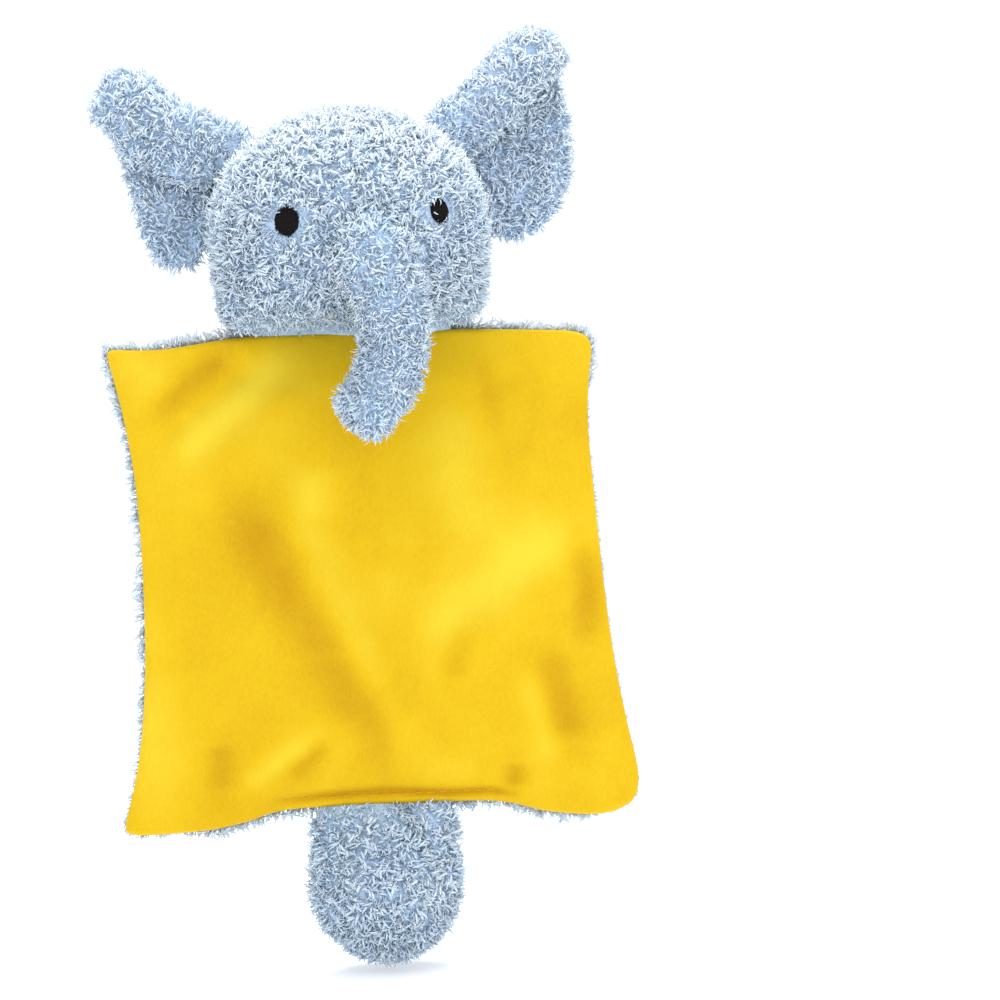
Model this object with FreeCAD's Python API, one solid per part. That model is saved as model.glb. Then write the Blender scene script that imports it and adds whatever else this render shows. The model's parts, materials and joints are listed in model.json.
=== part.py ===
import FreeCAD, Part

import math
import os

# A small stuffed elephant comforter: a plush head with two folded ears and a curled trunk,
# sewn to the top seam of a flat square pad, with one round stuffed foot at the pad's bottom seam.
# Millimetres. +Z is up, -Y is the toy's front and +X is the side on the right as it faces you.
# The origin is the middle of the pad's flat back face, where a hand holds it.
# Every outline here is the ground cloth: the pile of the plush stands proud of it.

Vec = FreeCAD.Vector

# Driving sizes
PAD_THICK = 8.0            # over both cloths and the wadding
PAD_CORNER_X = 64.0        # half width at the corners
PAD_SIDE_X = 57.5          # half width at mid height, where the sides pull in
PAD_TOP_Z = 59.0           # top edge at the corners
PAD_TOP_MID_Z = 60.5       # top edge under the head
PAD_BOTTOM_Z = -59.5       # bottom edge at the corners
PAD_BOTTOM_MID_Z = -55.0   # bottom edge over the foot
PAD_CORNER_R = 7.0
PLUSH = 2.0                # plush ground cloth
VELOUR = 1.2               # smooth front cloth
SLACK = 0.3                # space between a cover and its filling
THREAD_R = 0.35

PAD_MID_Y = -PAD_THICK / 2
PAD_CROWN_R = 900.0        # the front swells from its edges on this radius
SEAM_IN = 4.0              # the neck and foot threads run this far inside the pad's edges
NECK_SEAM_HALF = 24.0
FOOT_SEAM_HALF = 12.0

# The head and the foot are stuffed pouches: flat and wide at the seam, widest at the belly,
# round at the far end.
HEAD = {"seam_z": 62.2, "belly_z": 87.0, "end_z": 117.0, "seam": (28.0, 1.8), "belly": (33.6, 30.0)}
FOOT = {"seam_z": -56.8, "belly_z": -75.5, "end_z": -93.8, "seam": (14.5, 1.3), "belly": (17.4, 13.0)}
WEDGE = 1.8                # how quickly a pouch thickens away from its seam
CHEEK = 3.0                # how long it stays wide on the way to its seam
POUCH_STEPS = 6

EYE_X = 18.2
EYE_Z = 87.5
EYE_R = 3.5
EYE_PROUD = 1.2
EYE_SUNK = 1.6             # how deep its pad reaches below the face

TRUNK_ROOT = Vec(3.0, -31.0, 76.5)
TRUNK_BEND = Vec(6.0, -27.5, 54.5)
TRUNK_ROOT_R = 8.4
TRUNK_SHAFT_R = 8.1
TRUNK_BEND_R = 6.8
TRUNK_TIP_R = 6.2
TRUNK_CURL_R = 13.0        # the tip curls to the left on this radius
TRUNK_CURL_DEG = 78.0
SOCKET_GAP = 0.6

# An ear is drawn flat: s runs outwards from its root, t up along the root, and y is its depth.
# Its top is folded forwards and hangs down over the lobe.
EAR_ROOT = Vec(27.0, 1.0, 101.0)
EAR_SWEEP_DEG = 15.0
EAR_START_S = 3.5          # the cloth starts this far out from the line it swings about
EAR_RELIEF = 0.8           # how quickly it reaches its full depth from there
EAR_FOLD_R = 1.0           # inside radius of the fold
EARS = {
    "right": {"slope_deg": 33.0, "reach": 41.0, "top": 17.5, "lobe": 23.5, "flap": 0.5},
    "left": {"slope_deg": 27.0, "reach": 41.0, "top": 12.5, "lobe": 25.0, "flap": -2.5},
}
EAR_DEEP = 30.0            # deeper than any ear, for cutting its outline

CLOSING_STITCHES = 16
CLOSING_SPAN = (-25.0, 22.0)
CLOSING_Z = -51.6
CLOSING_WIDE = 0.6
CLOSING_PROUD = 0.5
CLOSING_SHARE = 0.62       # how much of its pitch a stitch covers


def save(name, *solids):
    shape = solids[0] if len(solids) == 1 else Part.makeCompound(list(solids))
    if not shape.isValid():
        raise RuntimeError(name + " is not valid")
    shape.exportStep("parts/" + name + ".step")
    print(f"{name}: {len(shape.Solids)} solid(s), {shape.Volume:.0f} mm3")


def pad_slab(inset, y_front, y_back):
    """The pad's pillow outline, drawn in by inset, as a slab between two depths."""
    x, side = PAD_CORNER_X - inset, PAD_SIDE_X - inset
    top, top_mid = PAD_TOP_Z - inset, PAD_TOP_MID_Z - inset
    low, low_mid = PAD_BOTTOM_Z + inset, PAD_BOTTOM_MID_Z + inset
    middle = (top + low) / 2
    corners = [Vec(-x, y_back, top), Vec(x, y_back, top), Vec(x, y_back, low), Vec(-x, y_back, low)]
    mids = [Vec(0, y_back, top_mid), Vec(side, y_back, middle),
            Vec(0, y_back, low_mid), Vec(-side, y_back, middle)]
    edges = [Part.Arc(corners[i], mids[i], corners[(i + 1) % 4]).toShape() for i in range(4)]
    slab = Part.Face(Part.Wire(edges)).extrude(Vec(0, y_front - y_back, 0))
    upright = [e for e in slab.Edges if abs(e.tangentAt(e.FirstParameter).y) > 0.99]
    return slab.makeFillet(max(PAD_CORNER_R - inset, 1.0), upright)


def crown(depth):
    """The ball whose near side is the pad's swollen front, or a surface below it."""
    return Part.makeSphere(PAD_CROWN_R - depth, Vec(0, PAD_CROWN_R - PAD_THICK, 0))


def pouch_sections(pouch):
    """Height, half width and half depth of a pouch's level sections, from its seam outwards."""
    seam_wide, seam_deep = pouch["seam"]
    wide, deep = pouch["belly"]
    sections = []
    for i in range(POUCH_STEPS):
        v = 1 - i / POUCH_STEPS
        z = pouch["belly_z"] + (pouch["seam_z"] - pouch["belly_z"]) * v
        sections.append((z, wide - (wide - seam_wide) * v**CHEEK, deep - (deep - seam_deep) * v**WEDGE))
    for i in range(POUCH_STEPS):
        turn = math.pi / 2 * i / (POUCH_STEPS - 0.4)
        z = pouch["belly_z"] + (pouch["end_z"] - pouch["belly_z"]) * math.sin(turn)
        sections.append((z, wide * math.cos(turn), deep * math.cos(turn)))
    return sections


def pouch_skin(pouch, depth):
    """A pouch's closed skin, drawn in by a depth all round."""
    share = 1 - depth / pouch["belly"][1]
    wires = []
    for z, half_wide, half_deep in pouch_sections(pouch):
        place = Vec(0, PAD_MID_Y, pouch["belly_z"] + (z - pouch["belly_z"]) * share)
        side, front = Vec(half_wide * share, 0, 0), Vec(0, half_deep * share, 0)
        wires.append(Part.Wire(Part.Ellipse(place + side, place + front, place).toShape()))
    return Part.makeLoft(wires, True, False)


def half_space(point, normal, size=200.0):
    """A large block on the side of point that normal points to."""
    block = Part.makeBox(2 * size, 2 * size, size, Vec(-size, -size, 0))
    turn = FreeCAD.Rotation(Vec(0, 0, 1), normal)
    block.Placement = FreeCAD.Placement(point, turn)
    return block


def make_pad():
    floor = -PLUSH             # the back panel's inner side
    pocket = pad_slab(VELOUR, -PAD_THICK, floor).common(crown(VELOUR))
    save("pad_front_panel", pad_slab(0, -PAD_THICK, floor).common(crown(0)).cut(pocket))
    save("pad_back_panel", pad_slab(0, floor, 0))

    thread = 2 * THREAD_R
    outside = pad_slab(VELOUR + SLACK, floor - thread, floor)
    inside = pad_slab(VELOUR + SLACK + thread, floor - thread, floor)
    save("pad_edge_thread", outside.cut(inside))

    inset = VELOUR + thread + 2 * SLACK
    wadding = pad_slab(inset, -PAD_THICK, floor - SLACK).common(crown(VELOUR + SLACK))
    for name, half, z in (("neck_seam_thread", NECK_SEAM_HALF, PAD_TOP_MID_Z - SEAM_IN),
                          ("foot_seam_thread", FOOT_SEAM_HALF, PAD_BOTTOM_MID_Z + SEAM_IN)):
        end = Vec(-half, floor - 2 * thread, z)
        save(name, Part.makeCylinder(THREAD_R, 2 * half, end, Vec(1, 0, 0)))
        wadding = wadding.cut(Part.makeCylinder(
            THREAD_R + SLACK, 2 * (half + SLACK), end - Vec(SLACK, 0, 0), Vec(1, 0, 0)))
    save("pad_wadding", wadding)


def make_closing_stitches():
    """A row of short topstitches where the pad was closed, lying on the front cloth."""
    first, last = CLOSING_SPAN
    pitch = (last - first) / (CLOSING_STITCHES - 1)
    length = CLOSING_SHARE * pitch
    skin = crown(-CLOSING_PROUD).cut(crown(0))
    stitches = []
    for i in range(CLOSING_STITCHES):
        corner = Vec(first + i * pitch - length / 2, -PAD_THICK - CLOSING_PROUD, CLOSING_Z - CLOSING_WIDE / 2)
        stitches.append(Part.makeBox(length, PAD_THICK, CLOSING_WIDE, corner).common(skin))
    save("closing_stitches", *stitches)


def belly_point(pouch, x, z):
    """The place on a pouch's front at a width and height above its belly, and its outward normal."""
    wide, deep = pouch["belly"]
    tall = pouch["end_z"] - pouch["belly_z"]
    up = z - pouch["belly_z"]
    out = -deep * math.sqrt(1 - (x / wide) ** 2 - (up / tall) ** 2)
    normal = Vec(x / wide**2, out / deep**2, up / tall**2).normalize()
    return Vec(x, PAD_MID_Y + out, z), normal


def make_eye(side, skin):
    """A round pad of satin stitch that stands proud of the face."""
    place, outwards = belly_point(HEAD, side * EYE_X, EYE_Z)
    disc = Part.makeCylinder(EYE_R, EYE_SUNK + EYE_PROUD, place - outwards * EYE_SUNK, outwards)
    rim = max(disc.Edges, key=lambda e: (e.CenterOfMass - place).dot(outwards))
    return disc.makeFillet(EYE_PROUD * 0.6, [rim]).cut(skin)


def make_head():
    outer, inner = pouch_skin(HEAD, 0), pouch_skin(HEAD, PLUSH)
    cover = outer.cut(inner).cut(trunk_base_solid(-SOCKET_GAP))
    stuffing = pouch_skin(HEAD, PLUSH + SLACK).cut(trunk_base_solid(-SOCKET_GAP - SLACK))
    middle = Vec(0, 0, 0)
    save("head_cover_left", cover.common(half_space(middle, Vec(-1, 0, 0))))
    save("head_cover_right", cover.common(half_space(middle, Vec(1, 0, 0))))
    save("head_stuffing", stuffing)
    save("eye_left", make_eye(-1, outer))
    save("eye_right", make_eye(1, outer))


def trunk_base_solid(depth):
    """The trunk from its root ball to the hollow that the tip's ball turns in, drawn in by depth."""
    along = TRUNK_BEND - TRUNK_ROOT
    hollow = Part.makeSphere(TRUNK_BEND_R + SOCKET_GAP + depth, TRUNK_BEND)
    ball = Part.makeSphere(TRUNK_ROOT_R - depth, TRUNK_ROOT)
    shaft = Part.makeCone(
        TRUNK_SHAFT_R - depth, TRUNK_BEND_R - depth, along.Length, TRUNK_ROOT, along)
    return ball.fuse(shaft).cut(hollow)


def trunk_tip_solid(depth):
    """The curled tip: a ball at the bend, a bent tube and a round end."""
    radius = TRUNK_TIP_R - depth
    centre = TRUNK_BEND - Vec(TRUNK_CURL_R, 0, 0)
    disc = Part.Face(Part.Wire(Part.makeCircle(radius, TRUNK_BEND, Vec(0, 0, 1))))
    tube = disc.revolve(centre, Vec(0, 1, 0), TRUNK_CURL_DEG)
    angle = math.radians(TRUNK_CURL_DEG)
    end = centre + Vec(math.cos(angle), 0, -math.sin(angle)) * TRUNK_CURL_R
    ball = Part.makeSphere(TRUNK_BEND_R - depth, TRUNK_BEND)
    return ball.fuse([tube, Part.makeSphere(radius, end)])


def make_trunk():
    for name, solid in (("trunk_base", trunk_base_solid), ("trunk_tip", trunk_tip_solid)):
        save(name + "_cover", solid(0).cut(solid(PLUSH)))
        save(name + "_stuffing", solid(PLUSH + SLACK))


def ear_layer(ear, inner_r, outer_r):
    """One cloth of an ear: up the lobe, over the fold and down the front, between two radii."""
    y = -EAR_FOLD_R
    s = EAR_START_S
    low, high = -ear["lobe"] - PLUSH, ear["flap"]
    t = ear["top"] - EAR_FOLD_R - 2 * PLUSH
    edges = []
    for r in (inner_r, outer_r):
        edges.append(Part.LineSegment(Vec(s, y + r, low), Vec(s, y + r, t)).toShape())
        edges.append(Part.Arc(Vec(s, y + r, t), Vec(s, y, t + r), Vec(s, y - r, t)).toShape())
        edges.append(Part.LineSegment(Vec(s, y - r, t), Vec(s, y - r, high)).toShape())
    edges.append(Part.LineSegment(Vec(s, y + inner_r, low), Vec(s, y + outer_r, low)).toShape())
    edges.append(Part.LineSegment(Vec(s, y - inner_r, high), Vec(s, y - outer_r, high)).toShape())
    outline = Part.Wire(Part.sortEdges(edges)[0])
    return Part.Face(outline).extrude(Vec(ear["reach"] - s, 0, 0))


def ear_outline(ear):
    """A block with an ear's rounded outline: a hanging lobe, a long outer edge, a round tip."""
    reach, lobe, top = ear["reach"], ear["lobe"], ear["top"]

    def at(s, t):
        return Vec(s, -EAR_DEEP, t)

    root_low, low = at(EAR_START_S, -0.78 * lobe), at(0.36 * reach, -lobe)
    turn = at(0.7 * reach, -0.66 * lobe)
    side, out = at(0.87 * reach, -0.28 * lobe), at(0.97 * reach, 0.15 * top)
    tip, cap = at(reach, 0.6 * top), at(0.9 * reach, top)
    beyond, above = at(0.9 * reach, top + PLUSH), at(EAR_START_S, top + PLUSH)
    edges = [
        Part.Arc(root_low, low, turn).toShape(),
        Part.Arc(turn, side, out).toShape(),
        Part.Arc(out, tip, cap).toShape(),
    ]
    for start, end in ((cap, beyond), (beyond, above), (above, root_low)):
        edges.append(Part.LineSegment(start, end).toShape())
    return Part.Face(Part.Wire(edges)).extrude(Vec(0, 2 * EAR_DEEP, 0))


def root_relief():
    """Thins an ear to a blunt point at its root, so that it can swing both ways beside the head."""
    deep, tall = EAR_DEEP, 2 * EAR_DEEP
    far = EAR_START_S + EAR_RELIEF * deep
    corners = [Vec(0, -deep, -tall), Vec(far, -deep, -tall), Vec(EAR_START_S, 0, -tall),
               Vec(far, deep, -tall), Vec(0, deep, -tall)]
    return Part.Face(Part.makePolygon(corners + corners[:1])).extrude(Vec(0, 0, 2 * tall))


def make_ears():
    relief = root_relief()
    sweep = FreeCAD.Rotation(Vec(0, 0, 1), EAR_SWEEP_DEG)
    middle = EAR_FOLD_R + PLUSH
    for side, ear in EARS.items():
        outline = ear_outline(ear)
        root_low = 0.6 * ear["lobe"]
        pieces = {
            "front_panel": ear_layer(ear, EAR_FOLD_R, middle).common(outline).cut(relief),
            "back_panel": ear_layer(ear, middle, middle + PLUSH).common(outline).cut(relief),
            "root_thread": Part.makeCylinder(
                THREAD_R, root_low + 0.6 * ear["top"],
                Vec(EAR_START_S - 2 * THREAD_R, 0, -root_low), Vec(0, 0, 1)),
        }
        slope = FreeCAD.Rotation(Vec(0, 1, 0), -ear["slope_deg"])
        place = FreeCAD.Placement(EAR_ROOT, slope.multiply(sweep))
        for name, piece in pieces.items():
            piece.Placement = place.multiply(piece.Placement)
            if side == "left":
                piece = piece.mirror(Vec(0, 0, 0), Vec(1, 0, 0))
            save("ear_" + side + "_" + name, piece)


def make_foot():
    middle = Vec(0, PAD_MID_Y, 0)
    cover = pouch_skin(FOOT, 0).cut(pouch_skin(FOOT, PLUSH))
    save("foot_front_cover", cover.common(half_space(middle, Vec(0, -1, 0))))
    save("foot_back_cover", cover.common(half_space(middle, Vec(0, 1, 0))))
    save("foot_stuffing", pouch_skin(FOOT, PLUSH + SLACK))


os.makedirs("parts", exist_ok=True)
make_pad()
make_closing_stitches()
make_head()
make_trunk()
make_ears()
make_foot()
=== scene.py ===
import bpy, bmesh, json, math, random
from mathutils import Matrix, Vector, noise
from mathutils.bvhtree import BVHTree

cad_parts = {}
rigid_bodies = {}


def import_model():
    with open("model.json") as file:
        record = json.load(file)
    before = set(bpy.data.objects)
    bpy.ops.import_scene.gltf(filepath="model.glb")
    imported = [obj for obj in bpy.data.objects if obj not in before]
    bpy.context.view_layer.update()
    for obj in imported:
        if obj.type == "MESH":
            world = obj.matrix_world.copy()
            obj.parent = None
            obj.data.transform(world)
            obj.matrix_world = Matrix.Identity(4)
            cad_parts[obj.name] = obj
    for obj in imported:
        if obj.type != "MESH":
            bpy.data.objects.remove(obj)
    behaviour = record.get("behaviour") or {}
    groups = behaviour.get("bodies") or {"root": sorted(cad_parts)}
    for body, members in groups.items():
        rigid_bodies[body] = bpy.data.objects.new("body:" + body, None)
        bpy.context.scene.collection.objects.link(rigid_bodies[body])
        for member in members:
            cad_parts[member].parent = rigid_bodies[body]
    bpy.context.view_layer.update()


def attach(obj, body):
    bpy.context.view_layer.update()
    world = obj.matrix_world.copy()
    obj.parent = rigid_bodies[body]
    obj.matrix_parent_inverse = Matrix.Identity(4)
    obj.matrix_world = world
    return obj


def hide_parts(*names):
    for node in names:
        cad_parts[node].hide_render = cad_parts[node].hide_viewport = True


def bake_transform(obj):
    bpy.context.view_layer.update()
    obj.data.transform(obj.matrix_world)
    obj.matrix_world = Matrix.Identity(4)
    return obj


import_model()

# stuffed elephant comforter: plush head, ears, trunk and foot on a flat velour pad
# sizes are in mm, and mm turns them into metres
mm = 0.001
scene = bpy.context.scene


def clamp(x, low=0.0, high=1.0):
    return max(low, min(high, x))


def smooth(x, low=0.0, high=1.0):
    # 0 below low, 1 above high, and a soft step between
    t = clamp((x - low) / (high - low))
    return t * t * (3 - 2 * t)


def through(points, t):
    # a soft curve through the points, t from 0 to 1
    n = len(points) - 1
    k = min(int(clamp(t) * n), n - 1)
    f = clamp(t) * n - k
    p = [Vector(points[clamp(k + j, 0, n)]) for j in (-1, 0, 1, 2)]
    return 0.5 * (2 * p[1] + (p[2] - p[0]) * f + (2 * p[0] - 5 * p[1] + 4 * p[2] - p[3]) * f * f
                  + (3 * p[1] - p[0] - 3 * p[2] + p[3]) * f * f * f)


def wobble(p, size, seed=0.0):
    # slow soft noise, about -1 to 1, for a place in mm
    return noise.noise(Vector(p) / size + Vector((seed, seed * 1.7, -seed)))


def inOrder(bm):
    # number corners and faces by where they are, so that the pile falls the same way every time
    fresh = bmesh.new()
    copies = [(kind, name, layer) for kind in ("float", "float_vector")
              for name, layer in getattr(bm.verts.layers, kind).items()]
    layers = [(layer, getattr(fresh.verts.layers, kind).new(name)) for kind, name, layer in copies]
    spots = sorted(bm.verts, key=lambda v: [round(c, 7) for c in v.co])
    number = {v: k for k, v in enumerate(spots)}
    corners = [fresh.verts.new(v.co) for v in spots]
    for v, twin in zip(spots, corners):
        for old, new in layers:
            twin[new] = v[old]
    rings = []
    for f in bm.faces:
        ring = [number[v] for v in f.verts]
        first = ring.index(min(ring))
        rings.append(ring[first:] + ring[:first])
    for ring in sorted(rings):
        fresh.faces.new([corners[k] for k in ring])
    bm.free()
    return fresh


def toObject(bm, name, material):
    mesh = bpy.data.meshes.new(name)
    bm.to_mesh(mesh)
    bm.free()
    mesh.materials.append(material)
    mesh.shade_smooth()
    ob = bpy.data.objects.new(name, mesh)
    scene.collection.objects.link(ob)
    return ob


def bake(ob):
    # keep what the modifiers give, and drop the modifiers
    dg = bpy.context.evaluated_depsgraph_get()
    mesh = bpy.data.meshes.new_from_object(ob.evaluated_get(dg), preserve_all_data_layers=True, depsgraph=dg)
    old = ob.data
    ob.modifiers.clear()
    ob.data = mesh
    mesh.name = ob.name
    bpy.data.meshes.remove(old)
    return ob


def nodeMaterial(name):
    mat = bpy.data.materials.new(name)
    mat.use_nodes = True
    return mat, mat.node_tree.nodes, mat.node_tree.links, mat.node_tree.nodes["Principled BSDF"]


def plushMaterial():
    # tone picks a tuft's shade and carries each piece's painted light; along runs from its root (0) to its
    # tip (1), and the darker root is partly the cloth's own blue, partly painted shade deep between the locks
    look = dict(root=(0.610, 0.745, 0.885, 1), middle=(0.735, 0.830, 0.920, 1), tip=(0.820, 0.890, 0.945, 1),
                darker=(0.62, 0.75, 0.88, 1), roughness=0.9, sheen=0.6)
    mat, nodes, links, shader = nodeMaterial("bluePlush")
    along = nodes.new("ShaderNodeAttribute")
    along.attribute_name = "along"
    tone = nodes.new("ShaderNodeAttribute")
    tone.attribute_name = "tone"
    ramp = nodes.new("ShaderNodeValToRGB")
    ramp.color_ramp.elements[0].color = look["root"]
    ramp.color_ramp.elements[1].color = look["tip"]
    ramp.color_ramp.elements[1].position = 0.85
    mid = ramp.color_ramp.elements.new(0.35)
    mid.color = look["middle"]
    shade = nodes.new("ShaderNodeMix")
    shade.data_type = "RGBA"
    shade.blend_type = "MULTIPLY"
    shade.inputs["B"].default_value = look["darker"]
    flip = nodes.new("ShaderNodeMapRange")
    flip.inputs["To Min"].default_value = 1.0
    flip.inputs["To Max"].default_value = 0.0
    links.new(along.outputs["Fac"], ramp.inputs["Fac"])
    links.new(tone.outputs["Fac"], flip.inputs["Value"])
    links.new(flip.outputs["Result"], shade.inputs["Factor"])
    links.new(ramp.outputs["Color"], shade.inputs["A"])
    links.new(shade.outputs["Result"], shader.inputs["Base Color"])
    shader.inputs["Roughness"].default_value = look["roughness"]
    shader.inputs["Sheen Weight"].default_value = look["sheen"]
    shader.inputs["Sheen Roughness"].default_value = 0.5
    shader.inputs["Specular IOR Level"].default_value = 0.2
    return mat


def velourMaterial():
    # painted light and shade of the folds and creases, and painted sheen where the velour's pile lies another
    # way, from the pad's strokes; soft clouds, and a fine grain
    # light and dark are the yellow lit and shaded for that painted light; the clouds and grain spread them
    # too
    look = dict(light=(0.700, 0.525, 0.030, 1), middle=(0.630, 0.400, 0.005, 1),
                dark=(0.470, 0.250, 0.002, 1), cloud=38.0, grain=2200.0, cloudShare=0.75, grainShare=0.36,
                darkest=0.555, roughness=0.85, sheen=0.15)
    mat, nodes, links, shader = nodeMaterial("yellowVelour")
    coords = nodes.new("ShaderNodeTexCoord")
    nap = nodes.new("ShaderNodeAttribute")
    nap.attribute_name = "nap"
    cloud = nodes.new("ShaderNodeTexNoise")
    cloud.inputs["Scale"].default_value = look["cloud"]
    cloud.inputs["Detail"].default_value = 3.0
    cloud.inputs["Distortion"].default_value = 0.4
    streak = nodes.new("ShaderNodeMapping")
    streak.inputs["Scale"].default_value = (1.0, 1.0, 0.45)
    grain = nodes.new("ShaderNodeTexNoise")
    grain.inputs["Scale"].default_value = look["grain"]
    grain.inputs["Detail"].default_value = 2.0
    addCloud = nodes.new("ShaderNodeMath")
    addCloud.operation = "MULTIPLY_ADD"
    addCloud.inputs[1].default_value = look["cloudShare"]
    addGrain = nodes.new("ShaderNodeMath")
    addGrain.operation = "MULTIPLY_ADD"
    addGrain.inputs[1].default_value = look["grainShare"]
    centre = nodes.new("ShaderNodeMath")
    centre.operation = "SUBTRACT"
    centre.inputs[1].default_value = look["darkest"]
    centre.use_clamp = True
    colour = nodes.new("ShaderNodeValToRGB")
    colour.color_ramp.elements[0].color = look["dark"]
    colour.color_ramp.elements[1].color = look["light"]
    middle = colour.color_ramp.elements.new(0.5)
    middle.color = look["middle"]
    bump = nodes.new("ShaderNodeBump")
    bump.inputs["Strength"].default_value = 0.3
    bump.inputs["Distance"].default_value = 0.0003
    links.new(coords.outputs["Object"], cloud.inputs["Vector"])
    links.new(coords.outputs["Object"], streak.inputs["Vector"])
    links.new(streak.outputs["Vector"], grain.inputs["Vector"])
    links.new(cloud.outputs["Fac"], addCloud.inputs[0])
    links.new(nap.outputs["Fac"], addCloud.inputs[2])
    links.new(grain.outputs["Fac"], addGrain.inputs[0])
    links.new(addCloud.outputs["Value"], addGrain.inputs[2])
    links.new(addGrain.outputs["Value"], centre.inputs[0])
    links.new(centre.outputs["Value"], colour.inputs["Fac"])
    links.new(colour.outputs["Color"], shader.inputs["Base Color"])
    links.new(grain.outputs["Fac"], bump.inputs["Height"])
    links.new(bump.outputs["Normal"], shader.inputs["Normal"])
    shader.inputs["Roughness"].default_value = look["roughness"]
    shader.inputs["Sheen Weight"].default_value = look["sheen"]
    shader.inputs["Sheen Roughness"].default_value = 0.45
    shader.inputs["Sheen Tint"].default_value = (1.0, 0.82, 0.35, 1)
    shader.inputs["Specular IOR Level"].default_value = 0.15
    return mat


def threadMaterial(name, light, dark, roughness):
    # twisted thread: a fine twist in colour and bump
    mat, nodes, links, shader = nodeMaterial(name)
    coords = nodes.new("ShaderNodeTexCoord")
    twist = nodes.new("ShaderNodeTexWave")
    twist.bands_direction = "DIAGONAL"
    twist.inputs["Scale"].default_value = 900.0
    twist.inputs["Distortion"].default_value = 1.5
    colour = nodes.new("ShaderNodeMix")
    colour.data_type = "RGBA"
    colour.inputs["A"].default_value = dark
    colour.inputs["B"].default_value = light
    bump = nodes.new("ShaderNodeBump")
    bump.inputs["Strength"].default_value = 0.3
    bump.inputs["Distance"].default_value = 0.0001
    links.new(coords.outputs["Object"], twist.inputs["Vector"])
    links.new(twist.outputs["Fac"], colour.inputs["Factor"])
    links.new(twist.outputs["Fac"], bump.inputs["Height"])
    links.new(colour.outputs["Result"], shader.inputs["Base Color"])
    links.new(bump.outputs["Normal"], shader.inputs["Normal"])
    shader.inputs["Roughness"].default_value = roughness
    shader.inputs["Specular IOR Level"].default_value = 0.12
    return mat


bluePlush = plushMaterial()
yellowVelour = velourMaterial()
eyeThread = threadMaterial("eyeThread", (0.010, 0.008, 0.008, 1), (0.004, 0.003, 0.003, 1), 0.75)
padThread = threadMaterial("padThread", (0.66, 0.42, 0.01, 1), (0.50, 0.28, 0.004, 1), 0.7)


def makeTufts():
    # a few curled wisps, each a thin three-sided lock that the cloths are covered with
    wisp = dict(kinds=8, long=3.7, wide=0.62, flat=0.5, bend=(40, 140), seed=3)
    rnd = random.Random(wisp["seed"])
    group = bpy.data.collections.new("tufts")
    for k in range(wisp["kinds"]):
        curl = k / (wisp["kinds"] - 1)
        bm = bmesh.new()
        layers = {n: bm.verts.layers.float.new(n) for n in ("along", "side")}
        bmesh.ops.create_cone(bm, cap_ends=True, segments=3, radius1=0.5, radius2=0, depth=1.0)
        bmesh.ops.translate(bm, verts=bm.verts, vec=(0, 0, 0.5))
        ups = [e for e in bm.edges if abs(e.verts[0].co.z - e.verts[1].co.z) > 0.5]
        bmesh.ops.subdivide_edges(bm, edges=ups, cuts=1 if curl < 0.3 else 2)
        length = wisp["long"] * (0.85 + 0.3 * rnd.random())
        bend = math.radians(wisp["bend"][0] + (wisp["bend"][1] - wisp["bend"][0]) * curl)
        lean = rnd.uniform(-0.35, 0.35)
        radius = length / bend
        for v in bm.verts:
            a = 1 - (1 - v.co.z) ** 1.35
            wide = wisp["wide"] * (0.75 + 0.65 * math.sin(math.pi * a ** 0.8)) * (1 - 0.35 * a)
            around = math.atan2(v.co.y, v.co.x)
            roundness = 1.0 if v.co.z < 0.99 else 0.0
            x = math.cos(around) * wide * 0.5 * roundness
            y = math.sin(around) * wide * 0.5 * roundness * wisp["flat"]
            turn = bend * a
            v[layers["along"]] = a
            v[layers["side"]] = 0.5 + around / math.tau
            v.co = Vector((x + lean * length * a * a,
                           radius * (1 - math.cos(turn)) + y * math.cos(turn),
                           radius * math.sin(turn) - y * math.sin(turn))) * mm
        mesh = bpy.data.meshes.new(f"tuft{k}")
        bm.to_mesh(mesh)
        bm.free()
        mesh.shade_smooth()
        group.objects.link(bpy.data.objects.new(f"tuft{k}", mesh))
    return group


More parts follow.
